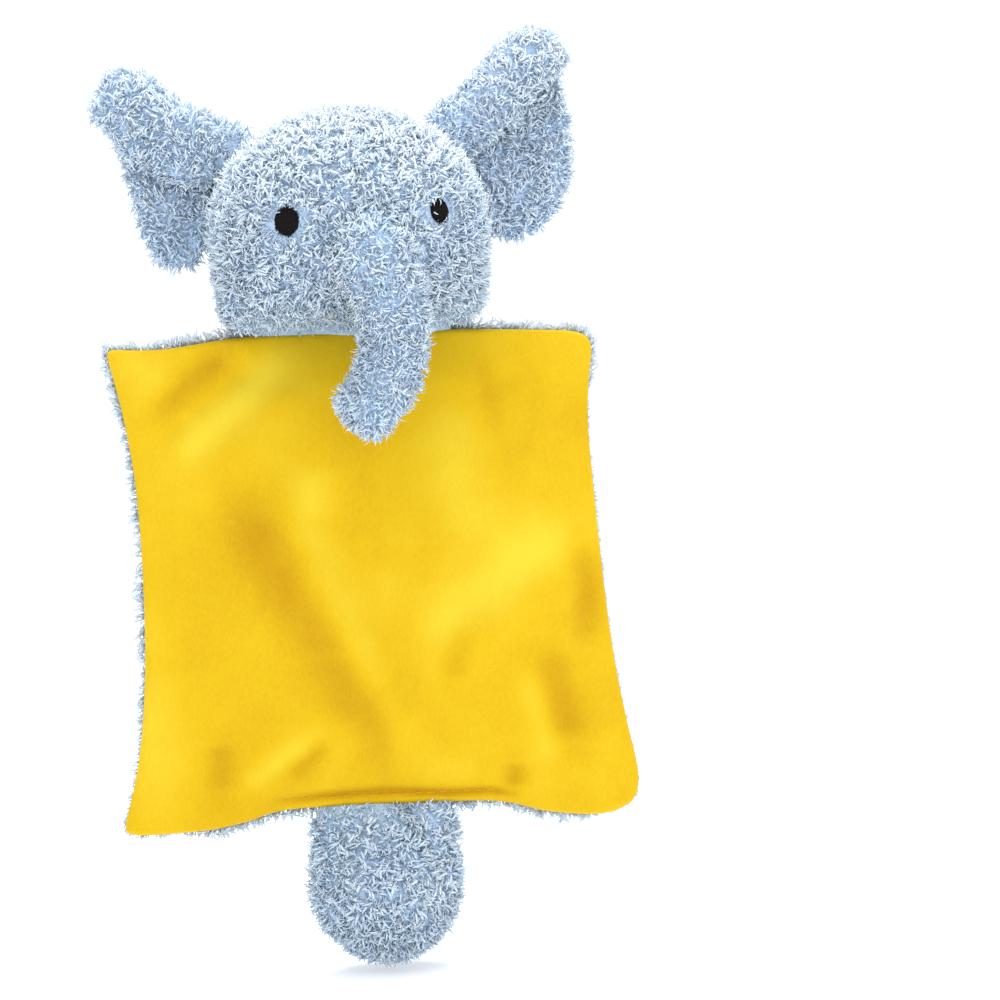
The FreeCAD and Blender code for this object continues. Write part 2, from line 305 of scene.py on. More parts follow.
def pileGroup(tufts):
    # geometry nodes: scatter the tufts where the cloth is furry, combed by lay
    tree = bpy.data.node_groups.new("pileOnCloth", "GeometryNodeTree")
    # scales are per metre: locks lean and curls turn together over a few mm, clouds shade over a cm
    fall = dict(locks=330.0, lean=9.0, stray=(0.7, 0.7, 0.7), curls=260.0, turns=6 * math.pi, twist=0.8,
                sizes=(0.65, 1.25), clouds=110.0, cloudy=0.9, speckle=0.15)
    sockets = tree.interface
    sockets.new_socket("Geometry", in_out="INPUT", socket_type="NodeSocketGeometry")
    for name in ("Spacing", "Density", "Length", "Unruly"):
        sockets.new_socket(name, in_out="INPUT", socket_type="NodeSocketFloat")
    sockets.new_socket("Seed", in_out="INPUT", socket_type="NodeSocketInt")
    sockets.new_socket("Geometry", in_out="OUTPUT", socket_type="NodeSocketGeometry")
    nodes, links = tree.nodes, tree.links

    def add(kind, **settings):
        n = nodes.new(kind)
        for key, value in settings.items():
            setattr(n, key, value)
        return n

    def attribute(name, kind):
        n = add("GeometryNodeInputNamedAttribute", data_type=kind)
        n.inputs["Name"].default_value = name
        return n.outputs["Attribute"]

    def maths(op, a, b, c=0.5):
        n = add("ShaderNodeMath", operation=op)
        for socket, value in zip(n.inputs, (a, b, c)):
            if isinstance(value, (int, float)):
                socket.default_value = value
            else:
                links.new(value, socket)
        return n.outputs[0]

    def vectors(op, a, b, scale=None):
        n = add("ShaderNodeVectorMath", operation=op)
        links.new(a, n.inputs[0])
        if b is not None:
            links.new(b, n.inputs[1])
        if scale is not None:
            if isinstance(scale, (int, float)):
                n.inputs["Scale"].default_value = scale
            else:
                links.new(scale, n.inputs["Scale"])
        return n.outputs[0]

    def randomValue(kind, low, high, step):
        n = add("FunctionNodeRandomValue", data_type=kind)
        at = {"FLOAT": (2, 3), "FLOAT_VECTOR": (0, 1)}[kind]
        n.inputs[at[0]].default_value = low
        n.inputs[at[1]].default_value = high
        links.new(maths("ADD", gin.outputs["Seed"], step), n.inputs["Seed"])
        return n.outputs[1 if kind == "FLOAT" else 0]

    gin = add("NodeGroupInput")
    gout = add("NodeGroupOutput")
    spread = add("GeometryNodeDistributePointsOnFaces", distribute_method="POISSON")
    links.new(gin.outputs["Geometry"], spread.inputs["Mesh"])
    links.new(gin.outputs["Spacing"], spread.inputs["Distance Min"])
    links.new(gin.outputs["Density"], spread.inputs["Density Max"])
    links.new(attribute("furry", "FLOAT"), spread.inputs["Density Factor"])
    links.new(gin.outputs["Seed"], spread.inputs["Seed"])

    # each tuft stands along the normal, leans with the lay, and strays a little
    place = add("GeometryNodeInputPosition")
    locks = add("ShaderNodeTexNoise")
    locks.inputs["Scale"].default_value = fall["locks"]
    locks.inputs["Detail"].default_value = 1.0
    links.new(place.outputs[0], locks.inputs["Vector"])
    middle = add("ShaderNodeCombineXYZ")
    for socket in middle.inputs:
        socket.default_value = 0.5
    clump = vectors("SUBTRACT", locks.outputs["Color"], middle.outputs[0])
    clump = vectors("SCALE", clump, None, fall["lean"])
    away = [-x for x in fall["stray"]]
    stray = vectors("ADD", clump, randomValue("FLOAT_VECTOR", away, fall["stray"], 11))
    stray = vectors("SCALE", stray, None, gin.outputs["Unruly"])
    up = vectors("ADD", vectors("ADD", spread.outputs["Normal"], attribute("lay", "FLOAT_VECTOR")), stray)
    stand = add("FunctionNodeAlignRotationToVector", axis="Z")
    links.new(up, stand.inputs["Vector"])
    spin = add("FunctionNodeRotateRotation", rotation_space="LOCAL")
    turn = add("ShaderNodeCombineXYZ")
    # neighbours curl the same way, so that they read as one soft lock
    curls = add("ShaderNodeTexNoise")
    curls.inputs["Scale"].default_value = fall["curls"]
    curls.inputs["Detail"].default_value = 0.0
    links.new(place.outputs[0], curls.inputs["Vector"])
    around = maths("MULTIPLY", curls.outputs[0], fall["turns"])
    links.new(maths("ADD", around, randomValue("FLOAT", -fall["twist"], fall["twist"], 12)), turn.inputs["Z"])
    links.new(stand.outputs[0], spin.inputs[0])
    links.new(turn.outputs[0], spin.inputs[1])

    size = maths("MULTIPLY", randomValue("FLOAT", *fall["sizes"], 13), gin.outputs["Length"])
    size = maths("MULTIPLY", size, attribute("trim", "FLOAT"))

    # shade: soft clouds, tuft to tuft change, and each piece's painted light, paler where the top light falls
    # and darker low down
    clouds = add("ShaderNodeTexNoise")
    clouds.inputs["Scale"].default_value = fall["clouds"]
    clouds.inputs["Detail"].default_value = 2.0
    links.new(place.outputs[0], clouds.inputs["Vector"])
    cloud = maths("MULTIPLY_ADD", clouds.outputs[0], fall["cloudy"], -fall["cloudy"] / 2)
    tone = maths("ADD", cloud, attribute("pale", "FLOAT"))
    tone = maths("ADD", tone, randomValue("FLOAT", -fall["speckle"], fall["speckle"], 14))
    limit = add("ShaderNodeClamp")
    limit.inputs["Min"].default_value = 0.01
    limit.inputs["Max"].default_value = 0.99
    links.new(tone, limit.inputs["Value"])

    keepTone = add("GeometryNodeStoreNamedAttribute", data_type="FLOAT", domain="POINT")
    keepTone.inputs["Name"].default_value = "tone"
    links.new(spread.outputs["Points"], keepTone.inputs["Geometry"])
    links.new(limit.outputs[0], keepTone.inputs["Value"])

    pick = add("GeometryNodeCollectionInfo")
    pick.inputs["Collection"].default_value = tufts
    pick.inputs["Separate Children"].default_value = True
    pick.inputs["Reset Children"].default_value = True
    put = add("GeometryNodeInstanceOnPoints")
    put.inputs["Pick Instance"].default_value = True
    links.new(keepTone.outputs[0], put.inputs["Points"])
    links.new(pick.outputs[0], put.inputs["Instance"])
    links.new(spin.outputs[0], put.inputs["Rotation"])
    links.new(size, put.inputs["Scale"])
    real = add("GeometryNodeRealizeInstances")
    links.new(put.outputs[0], real.inputs[0])

    join = add("GeometryNodeJoinGeometry")
    links.new(real.outputs[0], join.inputs[0])
    links.new(gin.outputs["Geometry"], join.inputs[0])

    # the map follows tone and along, so a baked picture of the pile stays small and exact
    flat = add("ShaderNodeCombineXYZ")
    across = maths("MULTIPLY", maths("SUBTRACT", attribute("side", "FLOAT"), 0.5), 0.012)
    links.new(maths("ADD", attribute("tone", "FLOAT"), across), flat.inputs["X"])
    links.new(maths("MULTIPLY_ADD", attribute("along", "FLOAT"), 0.9, 0.08), flat.inputs["Y"])
    keepMap = add("GeometryNodeStoreNamedAttribute", data_type="FLOAT2", domain="CORNER")
    keepMap.inputs["Name"].default_value = "OFBake"
    links.new(join.outputs[0], keepMap.inputs["Geometry"])
    links.new(flat.outputs[0], keepMap.inputs["Value"])
    paint = add("GeometryNodeSetMaterial")
    paint.inputs["Material"].default_value = bluePlush
    links.new(keepMap.outputs[0], paint.inputs[0])
    links.new(paint.outputs[0], gout.inputs[0])
    return tree


tufts = makeTufts()
pile = pileGroup(tufts)


def growPile(ob, spacing, density, length, unruly, seed):
    # spacing in mm, density in tufts per square mm, length as a share of a tuft's own
    mod = ob.modifiers.new("pile", "NODES")
    mod.node_group = pile
    values = dict(Spacing=spacing * mm, Density=density / (mm * mm), Length=length, Unruly=unruly, Seed=seed)
    for item in pile.interface.items_tree:
        if item.in_out == "INPUT" and item.name in values:
            mod[item.identifier] = values[item.name]
    bake(ob)
    tris = sum(len(p.vertices) - 2 for p in ob.data.polygons)
    print(f"{ob.name}: {tris} triangles")
    return ob


def clothPanel(name, shape, keep=None, ball=(56, 40), furry=None, lay=None, pale=None, trim=None, wall=1.4):
    # one panel of plush: a round blank is shaped, halved where the seam runs, and given its thickness
    bm = bmesh.new()
    bmesh.ops.create_uvsphere(bm, u_segments=ball[0], v_segments=ball[1], radius=1.0)
    layers = {n: bm.verts.layers.float.new(n) for n in ("furry", "pale", "trim", "tone", "along", "side")}
    layers["lay"] = bm.verts.layers.float_vector.new("lay")
    if keep is not None:
        bmesh.ops.bisect_plane(bm, geom=bm.verts[:] + bm.edges[:] + bm.faces[:], dist=1e-5,
                               plane_co=(0, 0, 0), plane_no=keep)
        spare = [f for f in bm.faces if f.calc_center_median().dot(Vector(keep)) < 0]
    for v in bm.verts:
        blank = v.co.copy()
        p = shape(blank)
        v[layers["furry"]] = furry(p, blank) if furry else 1.0
        v[layers["pale"]] = pale(p, blank) if pale else 0.5
        v[layers["trim"]] = trim(p, blank) if trim else 1.0
        # bare cloth under the pile: root colour, a little darker, as painted shade in the gaps between locks
        v[layers["tone"]] = 0.3
        v[layers["side"]] = 0.5
        v[layers["lay"]] = lay(p, blank) if lay else Vector((0, 0, -0.3))
        v.co = p * mm
    if bm.calc_volume(signed=True) < 0:
        bmesh.ops.reverse_faces(bm, faces=bm.faces[:])
    bm.normal_update()
    if keep is not None:
        bmesh.ops.delete(bm, geom=spare, context="FACES")
        outer = set(bm.verts)
        bmesh.ops.solidify(bm, geom=bm.faces[:], thickness=wall * mm)
        for v in bm.verts:
            if v not in outer:
                v[layers["furry"]] = 0.0
    return toObject(inOrder(bm), name, bluePlush)


head = dict(seamZ=58.5, chinZ=63.0, bellyZ=87.0, topZ=115.2, neck=(24.0, 1.6), belly=(32.6, 29.0), midY=-4.0,
            eyes=((-16.8, 86.2, 3.05), (19.5, 87.6, 2.6)), seed=21)


def headShape(blank):
    # round crown, full cheeks that turn in under the chin, and a thin neck that goes down into the pad
    around = math.hypot(blank.x, blank.y)
    wide, deep = head["belly"]
    cx, cy = (blank.x / around, blank.y / around) if around > 1e-6 else (0.0, 0.0)
    if blank.z >= 0:
        z = head["bellyZ"] + (head["topZ"] - head["bellyZ"]) * blank.z
        a, b = wide * around, deep * around
    else:
        v = math.acos(clamp(around)) / (math.pi / 2)
        low = clamp(v / 0.9)
        neckA, neckB = head["neck"]
        z = head["bellyZ"] - (head["bellyZ"] - head["chinZ"]) * math.sin(low * math.pi / 2)
        z -= (head["chinZ"] - head["seamZ"]) * clamp((v - 0.9) / 0.1)
        left = math.cos(low * math.pi / 2)
        close = clamp((1 - v) / 0.04)
        a = (neckA + (wide - neckA) * left ** 0.38) * close
        b = (neckB + (deep - neckB) * left ** 0.85) * close
    square = 1 + 0.05 * (2 * abs(cx * cy)) ** 2
    p = Vector((a * cx * square, head["midY"] + b * cy * square, z))
    # centre seam: a shallow groove over the forehead and down the back
    groove = 0.9 * math.exp(-(p.x / 1.8) ** 2) * smooth(z, 66, 80)
    p -= Vector((0, cy, 0.6 * max(blank.z, 0))) * groove
    return p + Vector((cx, cy, blank.z)) * 0.6 * wobble(p, 14, 3.1)


def fromEye(p):
    # from the nearest eye's centre to p, across the face, and how far it is from the eye's edge
    gaps = [(Vector((p.x - x, 0, p.z - z)), r) for x, z, r in head["eyes"]]
    gap, r = min(gaps, key=lambda g: g[0].length)
    return gap, gap.length - r if p.y < -10 else 99.0


def headFur(p, blank):
    gap, far = fromEye(p)
    return smooth(far, -0.3, 0.3) * smooth(p.z, 61.6, 62.6)


def headLay(p, blank):
    # combed down, a little away from the middle of the face, and parted round the eyes
    gap, far = fromEye(p)
    part = gap.normalized() * 1.5 * (1 - smooth(far, 0.4, 4)) if far < 5 else Vector()
    chin = 0.9 * (1 - smooth(p.z, 62, 70))
    return Vector((p.x * 0.010, 0, chin - 0.35)) + part


def headTrim(p, blank):
    gap, far = fromEye(p)
    return (0.6 + 0.4 * smooth(p.z, 62, 69)) * (0.7 + 0.3 * smooth(far, 0, 3.5))


def headPaintedLight(p, blank):
    # painted light: paler over the crown where the top light falls; painted shade under the chin, towards the
    # pad
    return 0.42 + 0.50 * smooth(p.z, 82, 112) - 0.12 * (1 - smooth(p.z, 62, 76))


headSkins = {}
for side, keep in (("Left", (-1, 0, 0)), ("Right", (1, 0, 0))):
    ob = clothPanel("headPlush" + side, headShape, keep, (96, 80), headFur, headLay, headPaintedLight, headTrim)
    headSkins[side] = BVHTree.FromPolygons([v.co.copy() for v in ob.data.vertices],
                                           [p.vertices[:] for p in ob.data.polygons])
    growPile(ob, spacing=0.38, density=3.4, length=0.95, unruly=0.42, seed=head["seed"] + (side == "Right"))
    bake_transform(ob)
    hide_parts("head_cover_" + side.lower())
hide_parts("head_stuffing")
print("head done")


def addThread(bm, sides, steps, place):
    # one thread: a thin rod cut into steps, then bent; place gets how far along and where on the round
    rod = bmesh.new()
    bmesh.ops.create_cone(rod, cap_ends=True, segments=sides, radius1=1, radius2=1, depth=1)
    ups = [e for e in rod.edges if abs(e.verts[0].co.z - e.verts[1].co.z) > 0.5]
    bmesh.ops.subdivide_edges(rod, edges=ups, cuts=steps - 1)
    for v in rod.verts:
        v.co = place(v.co.z + 0.5, v.co.x, v.co.y)
    mesh = bpy.data.meshes.new("rod")
    rod.to_mesh(mesh)
    rod.free()
    bm.from_mesh(mesh)
    bpy.data.meshes.remove(mesh)


def makeEye(side, place):
    # satin stitch: threads laid side by side over a low black pad
    eye = dict(radius=2.95, tall=1.15, rise=0.8, threads=22, thick=0.17, sides=6, steps=8, turn=72,
               ragged=0.55, seed=5)
    if side == "Right":
        eye.update(radius=2.55, tall=1.12, threads=19, turn=118)
    rnd = random.Random(eye["seed"] + len(side))
    hit, normal, *_ = headSkins[side].ray_cast(Vector((place[0], -90, place[1])) * mm, Vector((0, 1, 0)))
    normal = -normal if normal.y > 0 else normal
    across = Vector((0, 0, 1)).cross(normal).normalized()
    upward = normal.cross(across).normalized()

    def onDome(u, v):
        rim = 1 - (math.hypot(u, v) / (eye["radius"] * 1.12)) ** 2
        rise = eye["rise"] * max(rim, 0) ** 0.5
        return hit + (across * u + upward * v * eye["tall"] + normal * rise) * mm

    bm = bmesh.new()
    bmesh.ops.create_uvsphere(bm, u_segments=28, v_segments=14, radius=1)
    for p in bm.verts:
        u, v = p.co.x * eye["radius"] * 0.95, p.co.y * eye["radius"] * 0.95
        p.co = onDome(u, v) - normal * (0.35 if p.co.z >= 0 else 1.4) * mm
    turn = math.radians(eye["turn"] + rnd.uniform(-6, 6))
    for k in range(eye["threads"]):
        offset = eye["radius"] * (-1 + 2 * (k + 0.5) / eye["threads"])
        reach = math.sqrt(max(eye["radius"] ** 2 - offset ** 2, 0.2))
        ends = (-reach - rnd.uniform(-0.1, eye["ragged"]), reach + rnd.uniform(-0.1, eye["ragged"]))
        lift = rnd.uniform(-0.03, 0.06)

        def stitch(a, x, y):
            along = ends[0] + (ends[1] - ends[0]) * a
            u = along * math.cos(turn) - offset * math.sin(turn)
            w = along * math.sin(turn) + offset * math.cos(turn)
            thin = eye["thick"] * (0.45 + 0.55 * math.sin(math.pi * clamp(a, 0.06, 0.94)) ** 0.4)
            sideways = (across * -math.sin(turn) + upward * math.cos(turn)) * x
            return onDome(u, w) + ((sideways + normal * (y * 0.8)) * thin + normal * lift) * mm

        addThread(bm, eye["sides"], eye["steps"], stitch)
    bmesh.ops.recalc_face_normals(bm, faces=bm.faces[:])
    ob = toObject(bm, "eye" + side, eyeThread)
    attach(ob, "head")
    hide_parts("eye_" + side.lower())


for side, place in zip(("Left", "Right"), head["eyes"]):
    makeEye(side, place)
print("eyes done")


trunk = dict(line=((2.2, -20, 83), (3.2, -29.5, 78), (6.0, -31.5, 69), (7.3, -30.0, 60), (6.3, -28.6, 52),
                   (2.6, -27.6, 44.5), (-3.6, -27.2, 38.8)),
             radii=(12.0, 9.6, 8.0, 7.2, 6.8, 6.6, 6.3), seed=41)


def trunkShape(blank, low, high):
    # a stuffed tube along its line, with round ends
    t = low + (high - low) * (1 - blank.z) / 2
    line = trunk["line"]
    centre = through(line, t)
    ahead = (through(line, min(t + 0.02, 1)) - through(line, max(t - 0.02, 0))).normalized()
    wide = through([(r, 0, 0) for r in trunk["radii"]], t).x
    around = math.hypot(blank.x, blank.y)
    ends = min(1.0, (1 - abs(blank.z)) * (high - low) * 7)
    close = math.sqrt(clamp(1 - (1 - ends) ** 2))
    if around < 1e-6:
        return centre
    side = ahead.cross(Vector((0, 1, 0))).normalized()
    front = side.cross(ahead)
    p = centre + (side * blank.x + front * blank.y) / around * wide * close
    return p + (p - centre).normalized() * 0.4 * wobble(p, 9, 7.7) if (p - centre).length > 0.1 else p


def trunkPart(name, low, high, seed):
    def shape(blank):
        return trunkShape(blank, low, high)

    def lay(p, blank):
        line = trunk["line"]
        t = low + (high - low) * (1 - blank.z) / 2
        return (through(line, min(t + 0.05, 1)) - through(line, max(t - 0.05, 0))).normalized() * 0.55

    def furry(p, blank):
        return smooth(p.y, -21.5, -24) if low == 0 and p.z > 70 else 1.0

    def pale(p, blank):
        # painted shade: darker towards the bottom of the trunk
        return 0.42 - 0.12 * smooth(66 - p.z, 0, 24)

    ob = clothPanel(name, shape, None, (32, 44), furry, lay, pale)
    return growPile(ob, spacing=0.36, density=3.8, length=0.8, unruly=0.36, seed=seed)


for part, parent, low, high, start, end in (("base", "head", 0.0, 0.6, (3, -29, 80), (4, -31, 68)),
                                            ("tip", "trunk_base", 0.5, 1.0, (6, -28, 59), (5, -28, 49))):
    ob = trunkPart("trunkPlush" + part.title(), low, high, trunk["seed"] + (part == "tip"))
    [c * mm for c in start]
    [c * mm for c in end]
    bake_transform(ob)
    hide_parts(f"trunk_{part}_cover", f"trunk_{part}_stuffing")
print("trunk done")


# each ear is a leaf-shaped pattern, s outwards and t upwards, folded over so that it stands as high as top
ears = dict(
    right=dict(slope=33, sweep=15, seed=61, flare=0.10,
               top=((0, 12.8), (10, 14.8), (19, 15.6), (32, 19.4), (37, 19.9), (45, 18.0)),
               leaf=((-1.5, -14), (2, -19.5), (8.5, -23.2), (19.5, -21.6), (25.5, -18), (31, -12.4),
                     (37.2, -2.6), (40, 3.5), (43, 10), (44.3, 17), (44.3, 25), (42.5, 30), (38, 32.6),
                     (30, 32.4), (22, 29.4), (14, 28), (5, 25.5), (-1, 20), (-2.5, 4))),
    left=dict(slope=27, sweep=15, seed=71, flare=0.06,
              top=((0, 11.2), (9, 11.5), (18, 11.4), (24, 12.2), (31, 14.7), (37, 14.4), (43, 11.0)),
              leaf=((-2, -13), (1, -20.5), (4, -24.8), (8.8, -26.4), (13, -23.4), (18.2, -18.2),
                    (24, -11.2), (29.6, -4.6), (36, 0), (39, 4), (39.8, 10), (39.8, 18), (39.4, 24),
                    (37.5, 28.5), (28, 30.6), (22, 29.4), (15, 28.7), (9, 28.6), (2, 23), (-2.5, 12),
                    (-3, 0))),
    root=(27.0, 1.0, 101.0), middle=(17.0, 3.0, 0.0), half=2.0, bendR=3.1)


def foldStart(ear, s):
    # where the cloth begins to turn over, from how high the folded top stands at s
    line = ear["top"]
    for (s0, t0), (s1, t1) in zip(line, line[1:]):
        if s <= s1:
            return t0 + (t1 - t0) * smooth(s, s0, s1) - ears["bendR"] - ears["half"]
    return line[-1][1] - ears["bendR"] - ears["half"]


def leafReach(leaf):
    # how far the leaf's edge is from its middle in each direction
    middle = Vector(ears["middle"])
    loop = [Vector((s, t, 0)) for s, t in leaf]
    edge = []
    for k in range(len(loop)):
        four = [loop[(k + j) % len(loop)] for j in (-1, 0, 1, 2)]
        for f in range(8):
            edge.append(through(four, (1 + f / 8) / 3) - middle)
    edge = sorted((math.atan2(e.y, e.x), e.length) for e in edge)

    def reach(angle):
        for (a0, r0), (a1, r1) in zip(edge, edge[1:]):
            if a0 <= angle <= a1:
                return r0 + (r1 - r0) * (angle - a0) / max(a1 - a0, 1e-6)
        return edge[0][1]
    return middle, reach


def earPanel(side, layer):
    ear = ears[side]
    middle, reach = leafReach(ear["leaf"])
    mirror = -1 if side == "left" else 1
    turn = Matrix.Rotation(math.radians(-ear["slope"]), 3, "Y")
    turn = turn @ Matrix.Rotation(math.radians(ear["sweep"]), 3, "Z")
    half, bendR = ears["half"], ears["bendR"]

    def flat(blank):
        around = math.hypot(blank.x, blank.y)
        angle = math.atan2(blank.y, blank.x)
        out = around ** 0.9 * reach(angle)
        return middle.x + out * math.cos(angle), middle.y + out * math.sin(angle), around

    def folded(s, t, off):
        # over the fold the cloth turns forwards and hangs down in front of the lobe
        start = foldStart(ear, s)
        past = t - start
        if past < 0:
            return Vector((s, half + off, t))
        if past < math.pi * bendR:
            a = past / bendR
            wide = bendR + off
            return Vector((s, half - bendR + wide * math.cos(a), start + wide * math.sin(a)))
        down = past - math.pi * bendR
        gape = ear["flare"] * down * smooth(s, 8, 36)
        return Vector((s, half - 2 * bendR - off - gape, start - down))

    def shape(blank):
        s, t, around = flat(blank)
        puff = half * (1 - around ** 5) ** 0.5 if around < 1 else 0.0
        puff += 0.5 * wobble((s, t, side == "left"), 13, 2.0) * (1 - around ** 4)
        off = puff if blank.z > 0 else -puff
        p = folded(s, t, off)
        p.y += 1.0 * wobble((s, t, 5), 22, ear["seed"]) * smooth(s, 6, 24)
        p = turn @ p + Vector(ears["root"])
        p.x *= mirror
        return p

    def furry(p, blank):
        # the inner cloth is bare where the fold presses it flat
        s, t, around = flat(blank)
        start = foldStart(ear, s)
        if layer == "Front" and t > start - 7:
            return smooth(around, 0.93, 0.97)
        return smooth(s, -1.5, 0.5)

    def lay(p, blank):
        down = turn @ Vector((0.25, 0, -0.4))
        down.x *= mirror
        return down

    def pale(p, blank):
        # painted light: paler near the tops where the top light falls, painted shade lower down
        return 0.36 + 0.34 * smooth(p.z, 108, 128) - 0.14 * (1 - smooth(p.z, 82, 100))

    keep = (0, 0, 1) if layer == "Back" else (0, 0, -1)
    ob = clothPanel(f"ear{side.title()}{layer}", shape, keep, (64, 48), furry, lay, pale, wall=1.2)
    growPile(ob, spacing=0.4, density=3.0, length=0.9, unruly=0.4, seed=ear["seed"] + (layer == "Front"))
    start = Vector(ears["root"])
    start.x *= mirror
    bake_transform(ob)
    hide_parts(f"ear_{side}_{layer.lower()}_panel")
    return ob


for side in ("left", "right"):
    for layer in ("Front", "Back"):
        ob = earPanel(side, layer)
    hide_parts(f"ear_{side}_root_thread")
print("ears done")


foot = dict(seamZ=-53.5, bellyZ=-75.5, endZ=-93.6, seam=(15.2, 1.4), belly=(17.2, 12.8), midX=0.8, midY=-4.0,
            thinTo=0.86, seed=81)


def footShape(blank):
    around = math.hypot(blank.x, blank.y)
    wide, deep = foot["belly"]
    cx, cy = (blank.x / around, blank.y / around) if around > 1e-6 else (0.0, 0.0)
    if blank.z <= 0:
        z = foot["bellyZ"] + (foot["bellyZ"] - foot["endZ"]) * blank.z
        a, b = wide * around, deep * around
    else:
        v = math.acos(clamp(around)) / (math.pi / 2)
        z = foot["bellyZ"] + (foot["seamZ"] - foot["bellyZ"]) * v
        close = clamp((1 - v) / 0.06)
        a = (wide - (wide - foot["seam"][0]) * v ** 3) * close
        b = (foot["seam"][1] + (deep - foot["seam"][1]) * clamp(1 - v / foot["thinTo"]) ** 0.7) * close
    p = Vector((foot["midX"] + a * cx, foot["midY"] + b * cy, z))
    # a soft crease runs down from the seam at the right
    if cy < 0:
        line = (p.x - (7.0 + (-58.9 - p.z) * 0.35)) / 1.8
        p.y += 3.0 * math.exp(-line * line) * smooth(p.z, -76, -64)
    return p + Vector((cx, cy, blank.z)) * 0.5 * wobble(p, 11, 9.2)


for layer, keep in (("Front", (0, -1, 0)), ("Back", (0, 1, 0))):
    # at the seam the pile is short, clear of the velour's edge
    ob = clothPanel("footPlush" + layer, footShape, keep, (72, 56),
                    lambda p, b: 1 - smooth(p.z, -56.6, -55.6),
                    lambda p, b: Vector((0, 0, -0.35)),
                    # painted shade: darker than the head, and darker still towards the foot's bottom
                    lambda p, b: 0.34 - 0.10 * smooth(-p.z, 80, 94),
                    lambda p, b: 1 - 0.35 * smooth(p.z, -60, -57))
    growPile(ob, spacing=0.4, density=3.2, length=0.95, unruly=0.42, seed=foot["seed"] + (layer == "Back"))
    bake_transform(ob)
    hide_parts(f"foot_{layer.lower()}_cover")
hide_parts("foot_stuffing")
print("foot done")


pad = dict(top=((-61.8, 60.2), (-48, 59.5), (-28, 61.8), (-4, 62.2), (21, 61.8), (42, 60.8), (61.2, 59.6)),
           right=((61.2, 59.6), (58.4, 40), (59, 17), (61.2, -17), (64.4, -40), (69.2, -63.4)),
           low=((-64.2, -60.2), (-44, -60.2), (-33, -58.8), (-22, -56.4), (5, -57), (29, -58), (42, -61.6),
                (55, -63.4), (69.2, -63.4)),
           left=((-61.8, 60.2), (-58, 42), (-55.8, 20), (-56, -14), (-58.8, -40), (-64.2, -60.2)),
           corners=((1, 1, 10), (1, -1, 16), (-1, -1, 6), (-1, 1, 6)), halfWide=60,
           seamY=-2.2, edge=2.9, front=3.4, back=1.5, crown=1.6, cols=60, rows=58,
           pressure=1.6, frames=16, cap=1.2, seed=91,
           # soft folds: a line, how far it stands out, how wide it is
           folds=(((-25, 55), (-36, 47), (-48, 37), -1.5, 3.6), ((-14, 49), (-27, 36), (-42, 24), 1.5, 5.0),
                  ((-24, 28), (-20, 11), (-10, -7), (3, -30), (9, -46), 2.3, 6.5),
                  ((50, -2), (32, -12), (19, -24), 2.0, 6.0), ((54, 8), (55, -8), (54, -22), -1.0, 4.5),
                  ((44, -31), (46, -43), -1.0, 4.0), ((-12, -42), (-22, -48), (-31, -53), 1.6, 3.0),
                  ((-38, -38), (-38, -47), (-36, -55), -1.2, 4.0), ((33, -45), (34, -53), -1.0, 3.0),
                  ((30, 56), (32, 45), (34, 34), -0.6, 3.0), ((-56, 40), (-52, 22), (-53, 0), -1.2, 5.0),
                  ((-25, -53.4), (-14, -52.8), (3, -52.9), (17, -54.2), (28, -54.4), (34, -56), -1.3, 1.1),
                  ((-25, -55.4), (-12, -55.0), (4, -55.1), (28, -56.4), 0.5, 1.2)),
           # painted light and shade: the lit and shaded sides of the folds, the crease's shade and the
           # velour's sheen: a line, how strong, how wide
           nap=(((-18, 55), (-32, 43), (-45, 31), 0.55, 4.2), ((-58, 57), (-51, 53), (-53, 47), 0.25, 4.0),
                ((54, 10), (38, 2.5), (23, -7), (14, -18), 0.5, 7.0),
                ((20, 44), (24, 23), (28, 8), 0.25, 7.0),
                ((-15, 28), (-15, 13), (-8, -5), (0, -25), (8, -45), 0.3, 4.0),
                ((-12, 29), (-12, 15), 0.3, 6.0),
                ((38, -25), (41, -38), (44, -49), 0.35, 3.2), ((-15, -38), (-25, -44), (-33, -50), 0.5, 3.2),
                ((10, -49), (25, -49), 0.25, 5.0), ((-54, -2), (-56, -26), (-56, -51), 0.2, 7.0),
                ((-32, 57), (-41, 50), (-50, 43), -0.45, 3.4), ((53, 7), (55, -8), (54, -21), -0.4, 3.8),
                ((-32, 24), (-25, 6), (-16, -10), (-4, -30), (4, -45), -0.5, 7.0),
                ((45, -20), (47, -33), (50, -43), -0.35, 5.0), ((34, -48), (34, -54), -0.5, 3.2),
                ((-38, -38), (-39, -50), -0.4, 3.8), ((-13, -40), (-22, -48), -0.45, 2.6),
                ((30, 55), (32, 45), (34, 34), -0.2, 2.6), ((23, -13), (19, -26), -0.25, 3.2),
                ((-25, -53.4), (-14, -52.8), (3, -52.9), (17, -54.2), (28, -54.4), (34, -56), -0.6, 0.9)))


def padPlace(u, v):
    # a soft square between its four wavy edges; near a corner the square's rings become round
    def edge(name, t):
        return through([(x, 0, z) for x, z in pad[name]], t)

    for cu, cv, radius in pad["corners"]:
        share = radius / pad["halfWide"]
        a, b = share - (1 - u * cu), share - (1 - v * cv)
        if a > 0 and b > 0:
            out = max(a, b) / math.hypot(a, b)
            u, v = cu * (1 - share + a * out), cv * (1 - share + b * out)
    s, t = (u + 1) / 2, (v + 1) / 2
    p = edge("low", s) * (1 - t) + edge("top", s) * t
    p = p + edge("left", 1 - t) * (1 - s) + edge("right", 1 - t) * s
    for name, cs, ct in (("low", 0, 0), ("low", 1, 0), ("top", 0, 1), ("top", 1, 1)):
        p -= edge(name, cs) * ((s if cs else 1 - s) * (t if ct else 1 - t))
    return p


